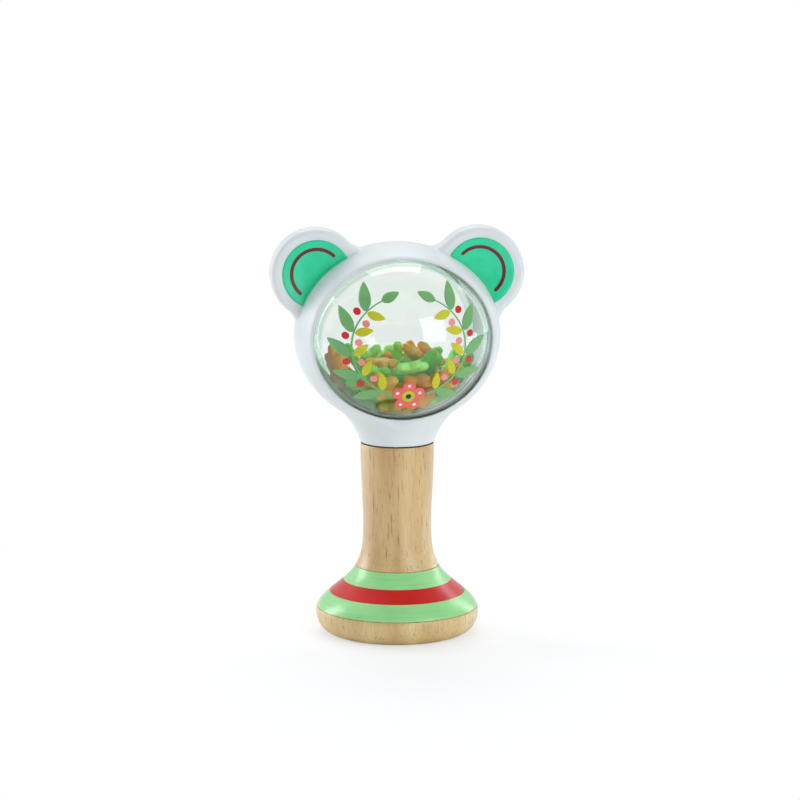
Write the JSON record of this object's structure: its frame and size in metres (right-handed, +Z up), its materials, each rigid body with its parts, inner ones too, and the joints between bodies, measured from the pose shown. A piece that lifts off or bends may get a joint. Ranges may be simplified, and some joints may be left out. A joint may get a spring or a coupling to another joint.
{
  "type": "baby maraca",
  "caption": "Baby maraca: a clear rattle ball of loose star beads in a white casing with round ears, on a turned wooden handle with a flared, striped foot to stand on.",
  "frame": {"origin": "centre of the foot, on the surface it stands on", "axes": "+Z up along the handle to the head, -Y the way the front of the head looks, +X to the viewer's right of it"},
  "size_m": [0.0864, 0.0674, 0.1396],
  "materials": {
    "wood": "sanded light wood with a thin satin lacquer, foot painted in mint, red and mint rings",
    "white": "satin pearl white, ears painted green with a dark red arc",
    "clear": "clear and polished, two leafy sprigs and a flower printed on the front",
    "green_bead": "smooth moulded green",
    "orange_bead": "smooth moulded orange"
  },
  "bodies": {
    "shell": {"handle": "wood", "front_casing": "white", "rear_casing": "white", "front_dome": "clear", "rear_dome": "clear"},
    "outer_beads": {"outer_bead_01": "green_bead", "outer_bead_02": "orange_bead", "outer_bead_03": "green_bead", "outer_bead_04": "orange_bead", "outer_bead_05": "green_bead", "outer_bead_06": "orange_bead", "outer_bead_07": "green_bead", "outer_bead_08": "orange_bead", "outer_bead_09": "green_bead", "outer_bead_10": "green_bead", "outer_bead_11": "orange_bead", "outer_bead_12": "green_bead", "outer_bead_13": "orange_bead", "outer_bead_14": "green_bead", "outer_bead_15": "orange_bead", "outer_bead_16": "green_bead", "outer_bead_17": "orange_bead", "outer_bead_18": "green_bead", "outer_bead_19": "green_bead", "outer_bead_20": "orange_bead", "outer_bead_21": "green_bead", "outer_bead_22": "orange_bead", "outer_bead_23": "green_bead", "outer_bead_24": "orange_bead", "outer_bead_25": "green_bead", "outer_bead_26": "orange_bead", "outer_bead_27": "green_bead", "outer_bead_28": "green_bead", "outer_bead_29": "orange_bead", "outer_bead_30": "green_bead", "outer_bead_31": "orange_bead", "outer_bead_32": "green_bead"},
    "inner_beads": {"inner_bead_01": "green_bead", "inner_bead_02": "orange_bead", "inner_bead_03": "green_bead", "inner_bead_04": "orange_bead", "inner_bead_05": "green_bead", "inner_bead_06": "orange_bead", "inner_bead_07": "green_bead", "inner_bead_08": "orange_bead", "inner_bead_09": "green_bead", "inner_bead_10": "green_bead", "inner_bead_11": "orange_bead", "inner_bead_12": "green_bead", "inner_bead_13": "orange_bead", "inner_bead_14": "green_bead"}
  },
  "joints": [
    {"name": "outer_beads_roll", "type": "hinge", "parent": "shell", "child": "outer_beads", "pos_m": [0, 0, 0.103], "axis": [0, 1, 0], "continuous": true},
    {"name": "inner_beads_tumble", "type": "hinge", "parent": "shell", "child": "inner_beads", "pos_m": [0, 0, 0.103], "axis": [1, 0, 0], "continuous": true}
  ]
}
